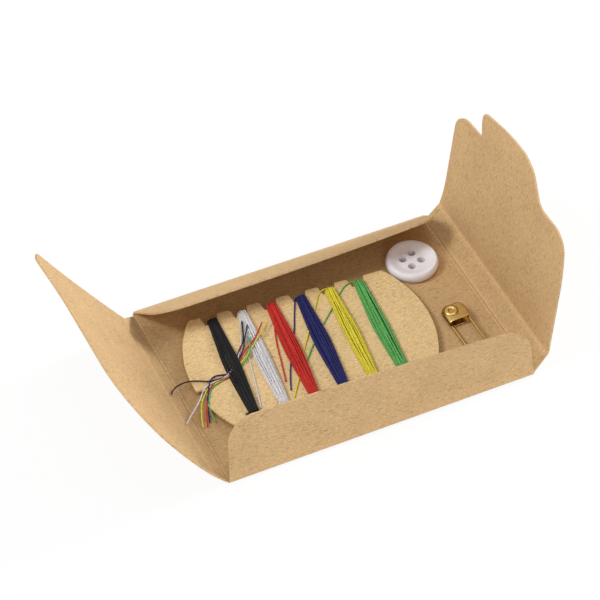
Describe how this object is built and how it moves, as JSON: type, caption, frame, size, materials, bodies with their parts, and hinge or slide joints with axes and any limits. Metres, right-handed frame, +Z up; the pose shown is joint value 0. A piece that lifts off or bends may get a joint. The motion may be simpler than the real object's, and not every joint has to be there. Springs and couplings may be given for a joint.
{
  "type": "compact sewing kit",
  "caption": "Creased kraft card folder, standing open round a notched card of sewing threads, a button, a safety pin and a needle.",
  "frame": {"origin": "middle of the base panel's underside", "axes": "+X from left to right along the base's long side, +Y from front to back, +Z up"},
  "size_m": [0.1032, 0.0527, 0.0416],
  "materials": {
    "kraft_board": "uncoated brown kraft card with fine fibres",
    "card_board": "uncoated light brown kraft card",
    "button_plastic": "glossy moulded pale plastic",
    "pin_brass": "bright gold coloured plating",
    "needle_steel": "polished nickel plated steel",
    "black_thread": "spun polyester sewing thread",
    "white_thread": "spun polyester sewing thread",
    "red_thread": "spun polyester sewing thread",
    "blue_thread": "spun polyester sewing thread",
    "yellow_thread": "spun polyester sewing thread",
    "green_thread": "spun polyester sewing thread"
  },
  "bodies": {
    "base": {"base_panel": "kraft_board"},
    "front_flap": {"front_flap": "kraft_board"},
    "back_flap": {"back_flap": "kraft_board"},
    "left_spine": {"left_spine": "kraft_board"},
    "left_cover": {"left_cover": "kraft_board"},
    "right_spine": {"right_spine": "kraft_board"},
    "right_cover": {"right_cover": "kraft_board"},
    "thread_card": {"thread_card": "card_board", "black_winding_bulk": "black_thread", "white_winding_bulk": "white_thread", "red_winding_bulk": "red_thread", "blue_winding_bulk": "blue_thread", "yellow_winding_bulk": "yellow_thread", "green_winding_bulk": "green_thread", "black_winding_turns": "black_thread", "white_winding_turns": "white_thread", "red_winding_turns": "red_thread", "blue_winding_turns": "blue_thread", "yellow_winding_turns": "yellow_thread", "green_winding_turns": "green_thread", "white_crossing_thread": "white_thread", "red_crossing_thread": "red_thread", "blue_crossing_thread": "blue_thread", "yellow_crossing_thread": "yellow_thread", "green_crossing_thread": "green_thread", "black_thread_ends": "black_thread", "white_thread_ends": "white_thread", "red_thread_ends": "red_thread", "blue_thread_ends": "blue_thread", "yellow_thread_ends": "yellow_thread", "green_thread_ends": "green_thread"},
    "button": {"button": "button_plastic"},
    "safety_pin": {"pin_cap": "pin_brass", "pin_spring_wire": "pin_brass"},
    "pin_arm": {"pin_point_arm": "pin_brass"},
    "needle": {"needle": "needle_steel"}
  },
  "joints": [
    {"name": "front_fold", "type": "hinge", "parent": "base", "child": "front_flap", "pos_m": [0, -0.026, 0.00045], "axis": [1, 0, 0], "range_deg": [-54, 103]},
    {"name": "back_fold", "type": "hinge", "parent": "base", "child": "back_flap", "pos_m": [0, 0.026, 0.00045], "axis": [-1, 0, 0], "range_deg": [-16.5, 138.5]},
    {"name": "left_spine_fold", "type": "hinge", "parent": "base", "child": "left_spine", "pos_m": [-0.036, 0, 0.00045], "axis": [0, -1, 0], "range_deg": [-39, 51]},
    {"name": "left_cover_fold", "type": "hinge", "parent": "left_spine", "child": "left_cover", "pos_m": [-0.03927, 0, 0.00449], "axis": [0, -1, 0], "range_deg": [-66, 6]},
    {"name": "right_spine_fold", "type": "hinge", "parent": "base", "child": "right_spine", "pos_m": [0.036, 0, 0.00045], "axis": [0, 1, 0], "range_deg": [-31, 50]},
    {"name": "right_cover_fold", "type": "hinge", "parent": "right_spine", "child": "right_cover", "pos_m": [0.03934, 0, 0.00443], "axis": [0, 1, 0], "range_deg": [-41, 33]},
    {"name": "card_tip", "type": "hinge", "parent": "base", "child": "thread_card", "pos_m": [-0.00351, 0.01604, 0.00151], "axis": [-0.9962, 0.0872, 0], "range_deg": [0, 60]},
    {"name": "button_lift", "type": "slide", "parent": "base", "child": "button", "axis": [0.2996, -0.6492, 0.6991], "range_m": [0, 0.02]},
    {"name": "pin_lift", "type": "slide", "parent": "base", "child": "safety_pin", "axis": [0, 0, 1], "range_m": [0, 0.02]},
    {"name": "pin_arm_turn", "type": "hinge", "parent": "safety_pin", "child": "pin_arm", "pos_m": [0.02835, -0.0181, 0.00159], "axis": [0, 0, -1], "range_deg": [0, 17]},
    {"name": "needle_lift", "type": "slide", "parent": "base", "child": "needle", "axis": [0, 0, 1], "range_m": [0, 0.02]}
  ]
}
